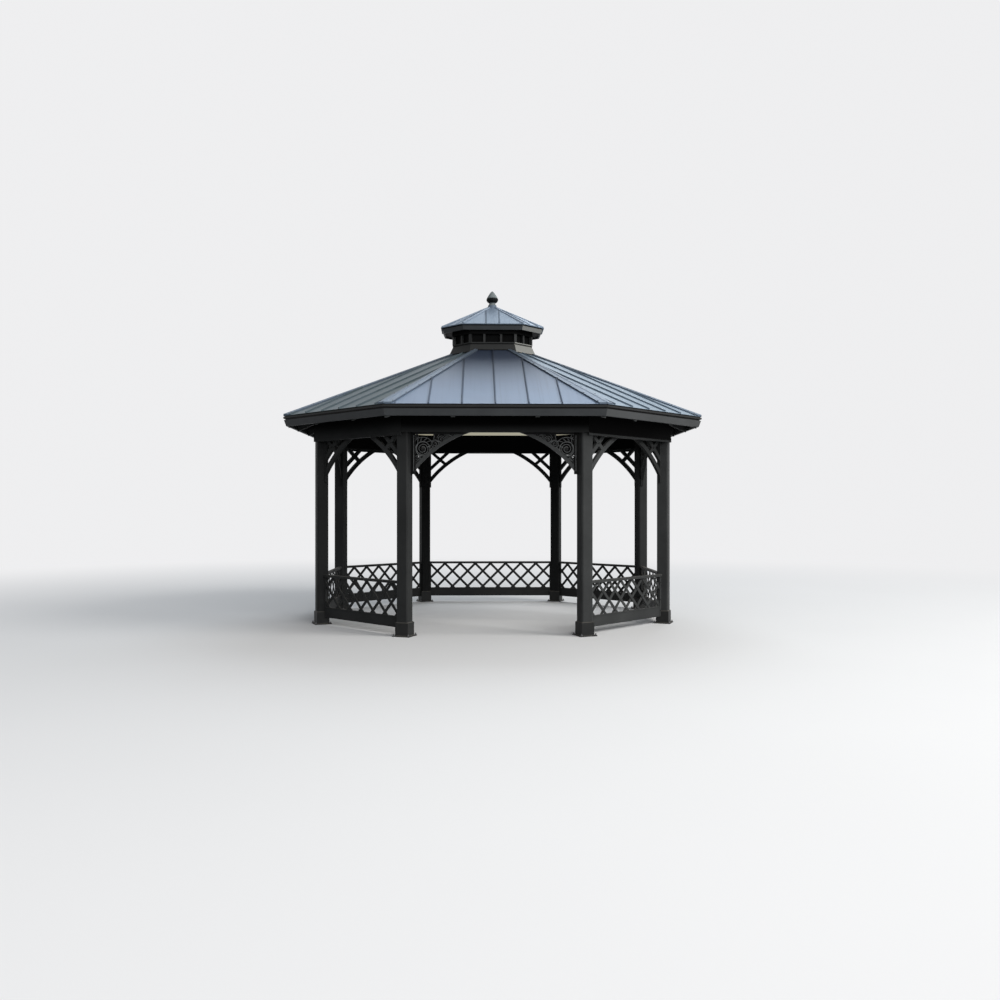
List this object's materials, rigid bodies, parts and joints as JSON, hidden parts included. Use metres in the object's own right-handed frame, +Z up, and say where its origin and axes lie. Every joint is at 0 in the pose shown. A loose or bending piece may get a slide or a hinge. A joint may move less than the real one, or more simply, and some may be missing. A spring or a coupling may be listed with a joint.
{
  "type": "bandstand",
  "caption": "Open octagonal park bandstand with lattice panels, scrolled entrance brackets, standing-seam roof, small lantern and finial.",
  "frame": {"origin": "on the floor under the middle of the roof", "axes": "+X to the right seen from the open entrance bay, +Y from the entrance to the back bay, +Z up; the entrance faces -Y"},
  "size_m": [5.35, 4.8198, 4.499],
  "materials": {
    "frame_paint": "satin charcoal paint on steel",
    "cast_frame": "satin charcoal paint on castings",
    "plate_steel": "dark painted steel",
    "roof_metal": "satin blue-grey coated sheet",
    "roof_timber": "dark stained boards",
    "lamp_diffuser": "matt opal"
  },
  "bodies": {
    "root": {"post_front_left": "frame_paint", "post_front_right": "frame_paint", "post_right_front": "frame_paint", "post_right_back": "frame_paint", "post_back_right": "frame_paint", "post_back_left": "frame_paint", "post_left_back": "frame_paint", "post_left_front": "frame_paint", "foot_plates": "plate_steel", "post_plinths": "frame_paint", "ring_beams": "frame_paint", "wall_plate": "frame_paint", "panel_front_left": "frame_paint", "panel_left": "frame_paint", "panel_back_left": "frame_paint", "panel_back": "frame_paint", "panel_back_right": "frame_paint", "panel_right": "frame_paint", "panel_front_right": "frame_paint", "scroll_bracket_left": "cast_frame", "scroll_bracket_right": "cast_frame", "plain_brackets": "cast_frame", "roof_front": "roof_metal", "roof_front_right": "roof_metal", "roof_right": "roof_metal", "roof_back_right": "roof_metal", "roof_back": "roof_metal", "roof_back_left": "roof_metal", "roof_left": "roof_metal", "roof_front_left": "roof_metal", "roof_boards": "roof_timber", "hip_caps": "roof_metal", "hip_rafters": "frame_paint", "common_rafters": "frame_paint", "eaves_fascia": "frame_paint", "eaves_drip": "frame_paint", "lantern_curb": "frame_paint", "lantern_sill": "frame_paint", "lantern_posts": "frame_paint", "lantern_head": "frame_paint", "lantern_fascia": "frame_paint", "lantern_roof": "roof_metal", "finial": "cast_frame", "light_batten": "lamp_diffuser"}
  },
  "joints": []
}
